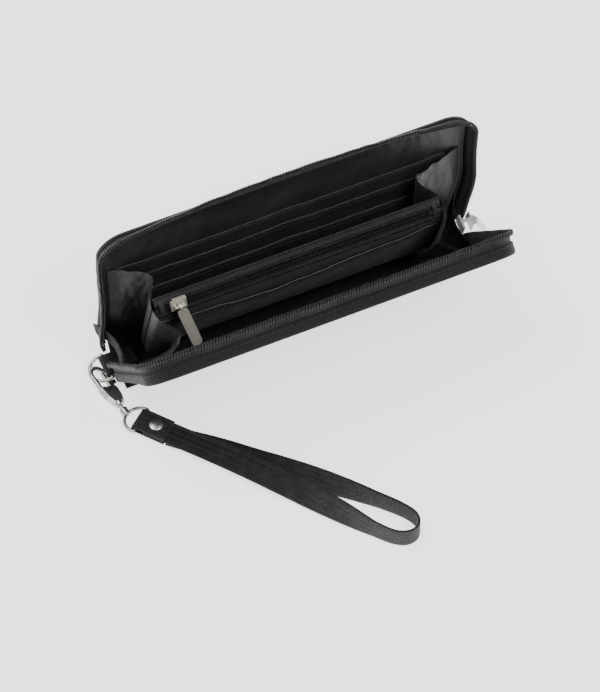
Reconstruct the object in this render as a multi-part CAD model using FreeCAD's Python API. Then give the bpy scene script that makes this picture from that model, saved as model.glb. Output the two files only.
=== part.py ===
"""Zip-around fabric wallet with a detachable wrist strap, standing open on its spine.

Frame, in millimetres: +X runs along the spine towards the main slider, -Y is the side that the
front cover opens towards, +Z is up. The origin is the middle of the spine's flat underside.
Both covers and the divider turn about one fold axis, parallel to X, above that underside.
"""
import FreeCAD, Part

import math
import os

from FreeCAD import Matrix, Placement, Rotation, Vector

os.makedirs("parts", exist_ok=True)

# ---- driving dimensions -------------------------------------------------------------------
HALF_LENGTH = 100.0         # half of the wallet's length along the spine
COVER_TOP = 90.0            # top of a cover, measured from the fold axis
HALF_CLOSED = 12.2          # half of the thickness when closed, and height of the fold axis
TOP_CORNER_R = 14.0
FOOT_INSET = 6.0            # how far each short side curves in towards the spine
FOOT_RISE = 11.0

REAR_LEAN = -5.0            # turns about +X from upright: the rear cover leans back
FRONT_LEAN = 38.0           # the front cover leans forward
DIVIDER_LEAN = (REAR_LEAN + FRONT_LEAN) / 2
OPEN_MORE = 8.0             # how much further the front cover can open

PANEL_T = 1.0               # outer fabric with its backing
RIM_DEPTH = 4.8             # side wall of a cover, from its outer face inwards
WALL_FOOT = 4.0             # the side wall starts this far above the fold axis
STIFFENER_T = 0.9
LINING_T = 0.6
SKIN_GAP = 0.05             # between layers that are sewn together at their edges

TAPE_T = 0.6
TAPE_ROOT = 9.0             # distance of the tape's sewn edge from the middle plane
TAPE_BEND = 7.2             # where the tape leaves the cover's side wall
TAPE_FREE = 6.0             # width of the tape from there to its free edge
COIL_W = 2.4
COIL_H = 2.0

WEB_W = 12.7                # webbing of the strap and the tab
WEB_T = 1.3

INNER_HALF = 78.0           # half of the divider's length
DIVIDER_TOP = 60.0          # top of its rear wall
DIVIDER_FOOT = -9.4         # its foot is sewn in at the spine
FRONT_WALL_TOP = 49.5

FOLD_AXIS = Vector(0, 0, HALF_CLOSED)
X, Y, Z = Vector(1, 0, 0), Vector(0, 1, 0), Vector(0, 0, 1)


# ---- helpers ------------------------------------------------------------------------------
def save(name, shape):
    """Write one sub-part, after checking that its solids are sound."""
    assert shape.isValid() and shape.Volume > 0, name
    for solid in shape.Solids:
        assert solid.isClosed(), name
    shape.exportStep(f"parts/{name}.step")
    print(f"{name:26s} {len(shape.Solids)} solid(s) {shape.Volume:10.1f} mm3")


def leaning(shape, degrees):
    """Place a shape made upright about the fold axis, leaning by an angle about +X."""
    placed = shape.copy()
    placed.Placement = Placement(FOLD_AXIS, Rotation(X, degrees)).multiply(placed.Placement)
    return placed


def polygon_prism(points, direction):
    """Extrude the closed polygon through the points."""
    wire = Part.makePolygon([Vector(*p) for p in points] + [Vector(*points[0])])
    return Part.Face(wire).extrude(direction)


def ruled_solid(sections):
    """Join a row of polygons, each a list of vectors, with ruled faces."""
    wires = [Part.makePolygon(s + [s[0]]) for s in sections]
    solid = Part.makeLoft(wires, True, True)
    if solid.Volume < 0:
        solid.reverse()
    return solid


def faceted_strip(low, high):
    """Solid between two bent strips, each a pair of equally long rows of vectors."""
    triangles = []

    def quad(a, b, c, d):
        triangles.extend([(a, b, c), (a, c, d)])

    for (front, back), turned in ((low, False), (high, True)):
        for n in range(len(front) - 1):
            corners = (front[n], front[n + 1], back[n + 1], back[n])
            quad(*(corners[::-1] if turned else corners))
    loop_low, loop_high = low[0] + low[1][::-1], high[0] + high[1][::-1]
    for n in range(len(loop_low)):
        m = (n + 1) % len(loop_low)
        quad(loop_low[m], loop_low[n], loop_high[n], loop_high[m])
    faces = [Part.Face(Part.makePolygon([a, b, c, a])) for a, b, c in triangles]
    solid = Part.makeSolid(Part.makeShell(faces))
    if solid.Volume < 0:
        solid.reverse()
    return solid


def block(x0, x1, y0, y1, z0, z1):
    return Part.makeBox(x1 - x0, y1 - y0, z1 - z0, Vector(x0, y0, z0))


def rod(start, end, radius):
    return Part.makeCylinder(radius, (end - start).Length, start, end - start)


def wire_along(points, radius):
    """Round wire through points, with a ball at each joint."""
    shape = Part.makeSphere(radius, points[0])
    for a, b in zip(points, points[1:]):
        shape = shape.fuse([rod(a, b, radius), Part.makeSphere(radius, b)])
    return shape.removeSplitter()


def frame_matrix(origin, ex, ey, ez):
    return Matrix(ex.x, ey.x, ez.x, origin.x, ex.y, ey.y, ez.y, origin.y,
                  ex.z, ey.z, ez.z, origin.z, 0, 0, 0, 1)


def in_frame(shape, origin, ex, ey, ez):
    """Move a shape rigidly into the frame with these unit axes."""
    placed = shape.copy()
    placed.Placement = Placement(frame_matrix(origin, ex, ey, ez)).multiply(placed.Placement)
    return placed


def cover_outline(inset, y):
    """Outline of a cover in the X-Z plane at y, with its foot edge at z = 0."""
    half, top = HALF_LENGTH - inset, COVER_TOP - inset
    r = max(TOP_CORNER_R - inset, 1.0)
    k = r * (1 - math.sqrt(0.5))
    foot_half = half - FOOT_INSET
    mid = Vector(half - FOOT_INSET * 0.30, y, FOOT_RISE * 0.42)
    edges = []
    for side in (-1, 1):
        low, bend, high = (Vector(side * foot_half, y, 0), Vector(side * mid.x, y, mid.z),
                           Vector(side * half, y, FOOT_RISE))
        edges.append(Part.Arc(low, bend, high).toShape())
        corner_low = Vector(side * half, y, top - r)
        corner_top = Vector(side * (half - r), y, top)
        corner_mid = Vector(side * (half - k), y, top - k)
        edges.append(Part.LineSegment(high, corner_low).toShape())
        edges.append(Part.Arc(corner_low, corner_mid, corner_top).toShape())
    edges.append(Part.LineSegment(Vector(r - half, y, top), Vector(half - r, y, top)).toShape())
    edges.append(Part.LineSegment(Vector(-foot_half, y, 0), Vector(foot_half, y, 0)).toShape())
    return Part.Wire(Part.__sortEdges__(edges))


def cover_plate(inset, y0, y1, foot=0.0):
    """Plate with a cover's outline, cut off below z = foot."""
    plate = Part.Face(cover_outline(inset, y0)).extrude(Vector(0, y1 - y0, 0))
    if foot:
        plate = plate.cut(block(-HALF_LENGTH, HALF_LENGTH, y0 - 1, y1 + 1, -1, foot))
    return plate


# ---- the cover shells: made for the rear, with +Y outwards ---------------------------------
def outer_panel():
    """Fabric shell: a plate with a side wall round its three free sides."""
    full = cover_plate(0, HALF_CLOSED - RIM_DEPTH, HALF_CLOSED)
    hollow = cover_plate(PANEL_T, HALF_CLOSED - RIM_DEPTH - 1, HALF_CLOSED - PANEL_T)
    wall_foot = block(-HALF_LENGTH, HALF_LENGTH, HALF_CLOSED - RIM_DEPTH - 1,
                      HALF_CLOSED - PANEL_T, -1, WALL_FOOT)
    return full.cut(hollow).cut(wall_foot).removeSplitter()


STIFFENER_OUT = HALF_CLOSED - PANEL_T - SKIN_GAP
LINING_OUT = STIFFENER_OUT - STIFFENER_T - SKIN_GAP
LINING_IN = LINING_OUT - LINING_T
LINING_INSET = PANEL_T + TAPE_T + 0.3
LINING_FOOT = 2.4


def stiffener():
    return cover_plate(PANEL_T + 0.2, STIFFENER_OUT - STIFFENER_T, STIFFENER_OUT, LINING_FOOT)


def lining():
    return cover_plate(LINING_INSET, LINING_IN, LINING_OUT, LINING_FOOT)


# ---- main zip: tape and coil follow the three free sides -----------------------------------
def zip_stations(low_left, low_right, side_flare, top_flare):
    """Points along the sewn line, each with its outward direction and the tape's flare."""
    inset = PANEL_T + 0.1
    half, top, r = HALF_LENGTH - inset, COVER_TOP - inset, TOP_CORNER_R - inset
    rows = []
    straight_top = top - r
    for n in range(6):
        z = low_left + (straight_top - low_left) * n / 6
        rows.append((Vector(-half, 0, z), Vector(-1, 0, 0), side_flare))
    for n in range(7):
        a = math.pi - math.pi / 2 * n / 6
        out = Vector(math.cos(a), 0, math.sin(a))
        rows.append((Vector(r - half, 0, top - r) + out * r, out, side_flare))
    top_steps = 18
    for n in range(1, top_steps):
        share = n / top_steps
        flare = side_flare + (top_flare - side_flare) * math.sin(math.pi * share) ** 0.8
        rows.append((Vector((2 * share - 1) * (half - r), 0, top), Z, flare))
    for n in range(7):
        a = math.pi / 2 - math.pi / 2 * n / 6
        out = Vector(math.cos(a), 0, math.sin(a))
        rows.append((Vector(half - r, 0, top - r) + out * r, out, side_flare))
    for n in range(1, 7):
        z = straight_top + (low_right - straight_top) * n / 6
        rows.append((Vector(half, 0, z), Vector(1, 0, 0), side_flare))
    return rows


def tape_section(point, out, flare):
    """The tape's bent strip: sewn stretch inside the side wall, then the flared free stretch."""
    inward = Vector(0, -1, 0)
    a = math.radians(flare)
    run = inward * math.cos(a) + out * math.sin(a)
    face = out * math.cos(a) + Y * math.sin(a)
    half_bend = (out + face).normalize() * (TAPE_T / math.cos(a / 2))
    root = point + Y * TAPE_ROOT
    bend = point + Y * TAPE_BEND
    tip = bend + run * TAPE_FREE
    return [root, bend, tip, tip - face * TAPE_T, bend - half_bend, root - out * TAPE_T]


def coil_section(point, out, flare):
    """A hexagon that stands on the outer side of the tape's free edge."""
    a = math.radians(flare)
    run = Vector(0, -1, 0) * math.cos(a) + out * math.sin(a)
    face = out * math.cos(a) + Y * math.sin(a)
    base = point + Y * TAPE_BEND + run * (TAPE_FREE - COIL_W / 2) + face * SKIN_GAP * 2
    w = COIL_W / 2
    return [base - run * w, base + run * w, base + run * w + face * COIL_H * 0.6,
            base + run * w * 0.5 + face * COIL_H, base - run * w * 0.5 + face * COIL_H,
            base - run * w + face * COIL_H * 0.6]


def main_zip(side_flare, top_flare):
    rows = zip_stations(14.0, 13.0, side_flare, top_flare)
    return (ruled_solid([tape_section(*row) for row in rows]),
            ruled_solid([coil_section(*row) for row in rows]))


# ---- covers -------------------------------------------------------------------------------
REAR_TOP_FLARE, REAR_SIDE_FLARE = 48.0, 10.0
FRONT_TOP_FLARE, FRONT_SIDE_FLARE = 16.0, 10.0

CARD_HEMS = {"lower": 34.0, "middle": 45.0, "upper": 56.0}
CARD_HALF = 88.0
CARD_T = 0.7


def card_panels():
    """Three stepped panels on the rear lining, the lowest hem nearest to the middle plane."""
    panels = {}
    for step, name in enumerate(("upper", "middle", "lower")):
        far = LINING_IN - SKIN_GAP - step * (CARD_T + SKIN_GAP)
        panels[name] = block(-CARD_HALF, CARD_HALF, far - CARD_T, far, 3.0, CARD_HEMS[name])
    return panels


def covers():
    turn_over = Rotation(Z, 180)
    for side, lean, flares in (("rear", REAR_LEAN, (REAR_SIDE_FLARE, REAR_TOP_FLARE)),
                               ("front", FRONT_LEAN, (FRONT_SIDE_FLARE, FRONT_TOP_FLARE))):
        tape, coil = main_zip(*flares)
        made = {"outer_panel": outer_panel(), "stiffener": stiffener(), "lining": lining(),
                "zip_tape": tape, "zip_coil": coil}
        for name, shape in made.items():
            if side == "front":
                shape = shape.copy()
                shape.Placement = Placement(Vector(), turn_over).multiply(shape.Placement)
            save(f"{side}_{name}", leaning(shape, lean))
    for name, shape in card_panels().items():
        save(f"card_panel_{name}", leaning(shape, REAR_LEAN))


# ---- spine --------------------------------------------------------------------------------
SPINE_HALF = HALF_LENGTH - FOOT_INSET
SPINE_IN = HALF_CLOSED - PANEL_T
BASE_FRONT, BASE_BACK, BASE_H = -13.5, 8.5, 2.4
FLAP_T = 0.8
FLAP_ARC = 62.0             # how far the front cover's flap reaches round inside the spine


def ring_sector(outer, inner, start, end, half):
    """Part of a tube about the fold axis; angles in degrees in the Y-Z plane from +Y."""
    a, b = math.radians(start), math.radians(end)
    m = (a + b) / 2

    def at(radius, angle):
        return Vector(-half, radius * math.cos(angle), HALF_CLOSED + radius * math.sin(angle))

    edges = [Part.Arc(at(outer, a), at(outer, m), at(outer, b)).toShape(),
             Part.LineSegment(at(outer, b), at(inner, b)).toShape(),
             Part.Arc(at(inner, b), at(inner, m), at(inner, a)).toShape(),
             Part.LineSegment(at(inner, a), at(outer, a)).toShape()]
    return Part.Face(Part.Wire(edges)).extrude(Vector(2 * half, 0, 0))


def spine():
    """Curved outer skin with a flat foot, and the front cover's flap that slides inside it."""
    gap = 0.6
    back = 360.0 + REAR_LEAN - gap
    front = 180.0 + FRONT_LEAN + OPEN_MORE + gap
    skin = ring_sector(HALF_CLOSED, SPINE_IN, front, back, SPINE_HALF)
    foot = block(-SPINE_HALF, SPINE_HALF, BASE_FRONT, BASE_BACK, 0, BASE_H)
    bore = rod(Vector(-SPINE_HALF - 1, 0, HALF_CLOSED), Vector(SPINE_HALF + 1, 0, HALF_CLOSED),
               SPINE_IN)
    save("spine_panel", skin.fuse(foot.cut(bore)))
    start = 180.0 + FRONT_LEAN
    flap = ring_sector(SPINE_IN - 0.1, SPINE_IN - 0.1 - FLAP_T, start, start + FLAP_ARC,
                       SPINE_HALF - 2)
    save("front_spine_flap", flap)


# ---- divider with its zipped pocket --------------------------------------------------------
REAR_WALL_Y = 2.4
FRONT_WALL_Y = -4.0
WALL_T = 0.6
BAND_GAP = 1.0              # between the two inner coils, where the slider's post runs
INNER_COIL_W, INNER_COIL_H, INNER_TAPE_T = 1.6, 1.5, 0.5
SLIP_FOOT, SLIP_TOP, SLIP_T = 9.0, 44.0, 0.7
SLOPE_TOP = 8.0             # below this the front wall slopes in to the divider's foot


def band_frame():
    """The zip band: its middle, its direction up the slope and its outward normal."""
    low = Vector(0, FRONT_WALL_Y - WALL_T, FRONT_WALL_TOP + 0.2)
    high = Vector(0, REAR_WALL_Y, DIVIDER_TOP + 0.2)
    up = (high - low).normalize()
    return (low + high) / 2, up, X.cross(up), (high - low).Length


def band_block(x0, x1, u0, u1, n0, n1):
    """A block in the zip band's frame: along X, up the slope and out of the band."""
    mid, up, out, _ = band_frame()
    return in_frame(block(x0, x1, u0, u1, n0, n1), mid, X, up, out)


def divider():
    wall_foot = DIVIDER_FOOT
    length = X * 2 * INNER_HALF
    outer_y = FRONT_WALL_Y - WALL_T
    rear = block(-INNER_HALF, INNER_HALF, REAR_WALL_Y, REAR_WALL_Y + WALL_T, wall_foot,
                 DIVIDER_TOP)
    front = block(-INNER_HALF, INNER_HALF, outer_y, FRONT_WALL_Y, SLOPE_TOP, FRONT_WALL_TOP)
    slope = polygon_prism([(-INNER_HALF, FRONT_WALL_Y, SLOPE_TOP),
                           (-INNER_HALF, outer_y, SLOPE_TOP),
                           (-INNER_HALF, 0.6, wall_foot),
                           (-INNER_HALF, 0.6 + 0.8, wall_foot)], length)
    save("divider_rear_wall", leaning(rear, DIVIDER_LEAN))
    save("divider_front_wall", leaning(front.fuse(slope).removeSplitter(), DIVIDER_LEAN))
    pocket_y = outer_y - SKIN_GAP
    pocket = block(-INNER_HALF + 1, INNER_HALF - 1, pocket_y - SLIP_T, pocket_y, SLIP_FOOT,
                   SLIP_TOP)
    save("divider_slip_pocket", leaning(pocket, DIVIDER_LEAN))
    _, _, _, width = band_frame()
    half = width / 2
    for name, sign in (("rear", 1), ("front", -1)):
        near, far = sorted((sign * BAND_GAP / 2, sign * (half - 0.9)))
        tape = band_block(-INNER_HALF, INNER_HALF, near, far, -INNER_TAPE_T, 0)
        near, far = sorted((sign * BAND_GAP / 2, sign * (BAND_GAP / 2 + INNER_COIL_W)))
        coil = band_block(-INNER_HALF + 5, INNER_HALF - 5, near, far, SKIN_GAP,
                          SKIN_GAP + INNER_COIL_H)
        save(f"inner_zip_tape_{name}", leaning(tape, DIVIDER_LEAN))
        save(f"inner_zip_coil_{name}", leaning(coil, DIVIDER_LEAN))
    stops = [band_block(x, x + 2.2, -2.4, 2.4, SKIN_GAP, SKIN_GAP + 1.7)
             for x in (-INNER_HALF + 2.4, INNER_HALF - 4.6)]
    save("inner_zip_stops", leaning(Part.makeCompound(stops), DIVIDER_LEAN))


# ---- sliders and pulls --------------------------------------------------------------------
INNER_SLIDER_X = -66.0
INNER_SLIDER_LEN, INNER_SLIDER_W = 8.6, 6.0
PULL_LEN, PULL_W, PULL_T = 24.5, 5.6, 1.0
INNER_PULL_SWING, INNER_PULL_SKEW = -26.0, -11.0
MAIN_SLIDER_LEN, MAIN_SLIDER_W, MAIN_SLIDER_Z = 8.6, 7.6, 10.5
MAIN_PULL_LEN, MAIN_PULL_TILT = 22.0, -25.0
BAIL_RISE = 2.1             # height of a slider's bail bar over its outer plate
BAIL_REACH = 2.2            # half of the bail's width
BAIL_R, EYE_IN, EYE_OUT = 0.6, 0.85, 1.75


def slider_local(length, width, low, high, plate, post_w, lip=0.0):
    """Slider along +X: outer and inner plates joined by a post, with +Z out of the zip.

    The channel between the plates runs from low to high; lips along the outer plate's long
    edges keep the coils in."""
    outer = block(-length / 2, length / 2, -width / 2, width / 2, high, high + plate)
    inner = block(-length / 2, length / 2, -width / 2, width / 2, low - plate, low)
    post = block(-length / 2, -length / 2 + 2.4, -post_w / 2, post_w / 2, low, high)
    solids = [inner, post]
    if lip:
        solids += [block(-length / 2 + 1.5, length / 2, y, y + 0.6, high - lip, high)
                   for y in (-width / 2, width / 2 - 0.6)]
    return outer.fuse(solids).removeSplitter()


def bail_local(top, reach, bar):
    """Small arch over the slider's outer plate; the pull hangs on its bar."""
    up = Z * (top + BAIL_RISE)
    foot = Z * (top - 0.2)
    return wire_along([foot - bar * reach, up - bar * reach, up + bar * reach,
                       foot + bar * reach], BAIL_R)


def pull_local(length, width, thick, skew):
    """Flat pull hanging down -Z from a ring eye about X at the origin, its faces normal to Y."""
    end = width / 2
    top = -EYE_OUT - end + 0.6
    plate = block(-end, end, -thick / 2, thick / 2, -length + end, top)
    plate = plate.fuse([Part.makeCylinder(end, thick, Vector(0, -thick / 2, z), Y)
                        for z in (top, -length + end)])
    eye = Part.makeCylinder(EYE_OUT, 1.4, Vector(-0.7, 0, 0), X)
    whole = plate.fuse(eye).cut(Part.makeCylinder(EYE_IN, 2, Vector(-1, 0, 0), X))
    plate_clear = Part.makeCylinder(EYE_OUT + 0.2, 2 * end, Vector(-end, 0, 0), X).cut(
        block(-0.7, 0.7, -5, 5, -5, 5))
    whole = whole.cut(plate_clear).removeSplitter()
    whole.rotate(Vector(), Y, skew)
    return whole


def inner_slider():
    """Slider and pull of the divider's zip, parked at its closed end."""
    mid, up, out, _ = band_frame()
    spot = mid + X * INNER_SLIDER_X
    high, plate = SKIN_GAP + INNER_COIL_H + 0.4, 0.8
    slider = slider_local(INNER_SLIDER_LEN, INNER_SLIDER_W, -INNER_TAPE_T - 0.35, high, plate,
                          BAND_GAP - 0.3, lip=1.5)
    top = high + plate
    slider = slider.fuse(bail_local(top, BAIL_REACH, X)).removeSplitter()
    placed = in_frame(slider, spot, X, up, out)
    save("inner_slider_body", leaning(placed, DIVIDER_LEAN))
    eye = spot + out * (top + BAIL_RISE)
    eye = FOLD_AXIS + Rotation(X, DIVIDER_LEAN).multVec(eye)
    pull = pull_local(PULL_LEN, PULL_W, PULL_T, INNER_PULL_SKEW)
    pull.Placement = Placement(eye, Rotation(X, INNER_PULL_SWING)).multiply(pull.Placement)
    save("inner_pull_tab", pull)
    print("inner pull hinge at", eye)


def main_slider():
    """Slider at the foot of the right side, in the middle plane between the two coils."""
    high, plate = COIL_H + 1.3, 1.1
    slider = slider_local(MAIN_SLIDER_LEN, MAIN_SLIDER_W, -TAPE_T - 0.35, high, plate, 1.6)
    top = high + plate
    slider = slider.fuse(bail_local(top, BAIL_REACH, Y)).removeSplitter()
    spot = Vector(HALF_LENGTH - PANEL_T - 0.1, 0, MAIN_SLIDER_Z)
    placed = in_frame(slider, spot, Z * -1, Y, X)
    save("main_slider_body", leaning(placed, DIVIDER_LEAN))
    eye = FOLD_AXIS + Rotation(X, DIVIDER_LEAN).multVec(spot + X * (top + BAIL_RISE))
    pull = pull_local(MAIN_PULL_LEN, PULL_W, PULL_T, 0)
    turn = Rotation(X, DIVIDER_LEAN).multiply(Rotation(Z, 90)).multiply(
        Rotation(X, MAIN_PULL_TILT))
    pull.Placement = Placement(eye, turn).multiply(pull.Placement)
    save("main_pull_tab", pull)
    print("main pull hinge at", eye)


# ---- gussets ------------------------------------------------------------------------------
GUSSET_TOP, GUSSET_FOOT = 57.0, 4.5
GUSSET_T = 0.4


def at_lean(x, y, z, lean):
    """A point made upright about the fold axis, then leaned."""
    return FOLD_AXIS + Rotation(X, lean).multVec(Vector(x, y, z))


def gusset(side, seam, bend, fold, end, middle):
    """Half of an accordion end: from a cover's seam by an inner fold round the divider's end.

    Each of the five lines is (x, y, lean); the fold's own thickness grows towards the spine."""
    sections = []
    for z, spread in ((GUSSET_FOOT, 2.8), (GUSSET_TOP, 1.3)):
        line = [at_lean(side * x, y, z, lean) for x, y, lean in (seam, bend, fold, end, middle)]
        inward = Y * (-GUSSET_T if line[4].y < line[0].y else GUSSET_T)
        outward = X * side * GUSSET_T
        back = [line[0] + inward, line[1] + inward - outward * 0.75,
                line[2] + X * side * spread, line[3] - inward + outward, line[4] + outward]
        sections.append((line, back))
    return faceted_strip(*sections)


def gussets():
    rear_mid = (REAR_LEAN + DIVIDER_LEAN) / 2
    front_mid = (FRONT_LEAN + DIVIDER_LEAN) / 2
    seam_x, bend_x, end_x, middle_x = 95.5, 90.0, INNER_HALF + 0.6, INNER_HALF + 1.4
    for name, side in (("left", -1), ("right", 1)):
        rear = gusset(side, (seam_x, LINING_IN - 0.1, REAR_LEAN), (bend_x, 6.7, REAR_LEAN),
                      (71.5, 5.6, rear_mid), (end_x, 3.6, DIVIDER_LEAN),
                      (middle_x, -0.6, DIVIDER_LEAN))
        front = gusset(side, (seam_x, -LINING_IN + 0.1, FRONT_LEAN), (bend_x, -8.0, FRONT_LEAN),
                       (69.0, -7.2, front_mid), (end_x, -5.9, DIVIDER_LEAN),
                       (middle_x, -1.6, DIVIDER_LEAN))
        save(f"{name}_gusset_rear", rear)
        save(f"{name}_gusset_front", front)


# ---- tab and its D-ring -------------------------------------------------------------------
def d_ring(half_width, side, radius):
    """D-shaped ring of wire: its bar along Y through the origin, its arc towards +X."""
    low, high = Vector(0, -half_width, 0), Vector(0, half_width, 0)
    run = X * side
    profile = Part.Face(Part.Wire(Part.makeCircle(radius, low + run, X)))
    arc = profile.revolve(run, Z, 180)
    return arc.fuse([rod(low, high, radius), rod(low, low + run, radius),
                     rod(high, high + run, radius), Part.makeSphere(radius, low),
                     Part.makeSphere(radius, high)])


def web_loop(length, bore):
    """Webbing doubled back round a bar at the origin; it runs to +X, its width along Y."""
    outer = bore + WEB_T
    low = [Vector(length, 0, -outer), Vector(length, 0, -bore)]
    high = [Vector(length, 0, bore), Vector(length, 0, outer)]
    edges = [Part.LineSegment(low[0], low[1]).toShape(),
             Part.LineSegment(low[1], Vector(0, 0, -bore)).toShape(),
             Part.Arc(Vector(0, 0, -bore), Vector(-bore, 0, 0), Vector(0, 0, bore)).toShape(),
             Part.LineSegment(Vector(0, 0, bore), high[0]).toShape(),
             Part.LineSegment(high[0], high[1]).toShape(),
             Part.LineSegment(high[1], Vector(0, 0, outer)).toShape(),
             Part.Arc(Vector(0, 0, outer), Vector(-outer, 0, 0), Vector(0, 0, -outer)).toShape(),
             Part.LineSegment(Vector(0, 0, -outer), low[0]).toShape()]
    profile = Part.Face(Part.Wire(Part.__sortEdges__(edges)))
    profile.translate(Vector(0, -WEB_W / 2, 0))
    return profile.extrude(Vector(0, WEB_W, 0))


TAB_BAR = Vector(-99.6, -1.5, 8.0)
TAB_LEN = 15.0
RING_R = 0.95
BAR_BORE = 1.1
TAB_RING_TILT = 15.0


def tab():
    save("tab_webbing", in_frame(web_loop(TAB_LEN, BAR_BORE), TAB_BAR, X, Y, Z))
    ring = d_ring(7.5, 2.0, RING_R)
    tilt = math.radians(TAB_RING_TILT)
    out = Vector(-math.cos(tilt), 0, -math.sin(tilt))
    save("tab_d_ring", in_frame(ring, TAB_BAR, out, Y * -1, out.cross(Y * -1)))


# ---- swivel clasp -------------------------------------------------------------------------
CLASP_EYE = Vector(-104.8, -5.8, 6.0)
CLASP_HEADING, CLASP_ROLL, CLASP_PITCH = 10.0, 35.0, 8.0
HOOK_R, HOOK_HALF, HOOK_NOSE = 1.3, 5.2, -6.5
BODY_START, BODY_END, BODY_T = 6.4, 16.5, 3.4
POST_R, POST_BORE = 1.2, 1.27
PIN_R, PIN_BORE = 0.6, 0.66
LEVER_T, SLOT_T = 1.7, 1.9
BODY_WIDE, BODY_NARROW = 6.0, 2.9   # half widths at the hook end and the swivel end
COLLAR_R = 2.7
PIVOT = Vector(8.6, 3.1, 0)


def clasp_axes():
    """Along the clasp towards its swivel, across it to the lever, and out of its face."""
    az = math.radians(CLASP_HEADING)
    along = Vector(math.sin(az), -math.cos(az), 0)
    across = Vector(math.cos(az), math.sin(az), 0)
    pitch, roll = math.radians(CLASP_PITCH), math.radians(CLASP_ROLL)
    along, face = (along * math.cos(pitch) - Z * math.sin(pitch),
                   Z * math.cos(pitch) + along * math.sin(pitch))
    return along, across * math.cos(roll) - face * math.sin(roll), \
        face * math.cos(roll) + across * math.sin(roll)


def clasp():
    bow = Part.makeTorus(HOOK_HALF, HOOK_R, Vector(HOOK_NOSE + HOOK_HALF, 0, 0), Z, -180, 180, 180)
    bow.rotate(Vector(HOOK_NOSE + HOOK_HALF, 0, 0), Z, 90)
    left = Vector(HOOK_NOSE + HOOK_HALF, -HOOK_HALF, 0)
    right = Vector(HOOK_NOSE + HOOK_HALF, HOOK_HALF, 0)
    stem = rod(Vector(BODY_START + 2, -HOOK_HALF + 0.2, 0), left, HOOK_R)
    tip = Part.makeSphere(HOOK_R, right)
    low = -BODY_T / 2
    body = polygon_prism([(BODY_START, -BODY_WIDE, low), (BODY_START + 6, 1 - BODY_WIDE, low),
                          (BODY_END, -BODY_NARROW, low), (BODY_END, BODY_NARROW, low),
                          (BODY_START + 6, 4.6, low), (BODY_START + 1.4, 4.9, low),
                          (BODY_START + 0.2, 4.4, low), (BODY_START, 0.5, low)],
                         Z * BODY_T)
    collar = rod(Vector(BODY_END - 0.5, 0, 0), Vector(BODY_END + 1.5, 0, 0), COLLAR_R)
    slot = block(BODY_START - 1, PIVOT.x + 2.0, PIVOT.y - 1.9, PIVOT.y + 4,
                 -SLOT_T / 2, SLOT_T / 2)
    whole = body.fuse([bow, stem, tip, collar, Part.makeSphere(HOOK_R, left)])
    whole = whole.cut(slot).cut(rod(Vector(BODY_END - 6, 0, 0), Vector(BODY_END + 3, 0, 0),
                                    POST_BORE))
    pin_hole = Part.makeCylinder(PIN_R, 6, PIVOT - Z * 3)
    under = -LEVER_T / 2
    lever_arm = polygon_prism([(PIVOT.x, PIVOT.y - 1.3, under), (PIVOT.x + 1.2, PIVOT.y, under),
                               (PIVOT.x, PIVOT.y + 1.3, under), (5.2, 5.0, under),
                               (4.6, 7.6, under), (2.6, 8.1, under), (1.4, 7.4, under),
                               (2.4, 5.0, under), (1.6, 3.55, under), (-2.4, 3.55, under),
                               (-2.9, 2.2, under)], Z * LEVER_T)
    frame = (CLASP_EYE, *clasp_axes())
    save("clasp_body", in_frame(whole.cut(pin_hole), *frame))
    save("clasp_lever_pin", in_frame(Part.makeCylinder(PIN_R, BODY_T, PIVOT + Z * low), *frame))
    lever = lever_arm.cut(Part.makeCylinder(PIN_BORE, 6, PIVOT - Z * 3))
    save("clasp_lever", in_frame(lever, *frame))
    print("clasp lever pivot", in_frame(Part.Vertex(PIVOT), *frame).Point, "axis", frame[3])
    print("clasp axis", frame[1])
    return frame


# ---- strap ring and strap -----------------------------------------------------------------
STRAP_HEADING = 51.7        # below +X, seen from above
STRAP_BAR = Vector(-95.9, -36.4, 3.9)
KNUCKLE_OUT, KNUCKLE_R = 6.0, 2.3
STRAP_RING_HALF, STRAP_RING_SIDE = 7.4, 1.0
STITCHED = 16.3             # length of the tripled, riveted stretch
RIVET_AT = 9.0
RIVET_R, RIVET_H, SHANK_R = 3.5, 1.2, 1.1


def strap_axes():
    a = math.radians(STRAP_HEADING)
    along = Vector(math.cos(a), -math.sin(a), 0)
    return along, Vector(math.sin(a), math.cos(a), 0), Z


def strap_point(s, p, z):
    along, across, _ = strap_axes()
    return Vector(STRAP_BAR.x, STRAP_BAR.y, 0) + along * s + across * p + Z * z


def strap_ring(clasp_frame):
    """D-ring whose knuckle turns in the clasp's bore."""
    eye, axis = clasp_frame[0], clasp_frame[1]
    knuckle = eye + axis * (BODY_END + KNUCKLE_OUT)
    apex_dir = (knuckle - STRAP_BAR)
    across = strap_axes()[1]
    out = (apex_dir - across * apex_dir.dot(across)).normalize()
    ring = in_frame(d_ring(STRAP_RING_HALF, STRAP_RING_SIDE, RING_R), STRAP_BAR, out, across,
                    out.cross(across))
    post = rod(eye + axis * (BODY_END - 4), knuckle, POST_R)
    barrel = rod(knuckle - axis * KNUCKLE_R, knuckle + axis * KNUCKLE_R, KNUCKLE_R)
    rims = [edge for edge in barrel.Edges if edge.Curve.TypeId == "Part::GeomCircle"]
    save("strap_swivel_ring", ring.fuse([post, barrel.makeFillet(0.8, rims)]))


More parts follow.
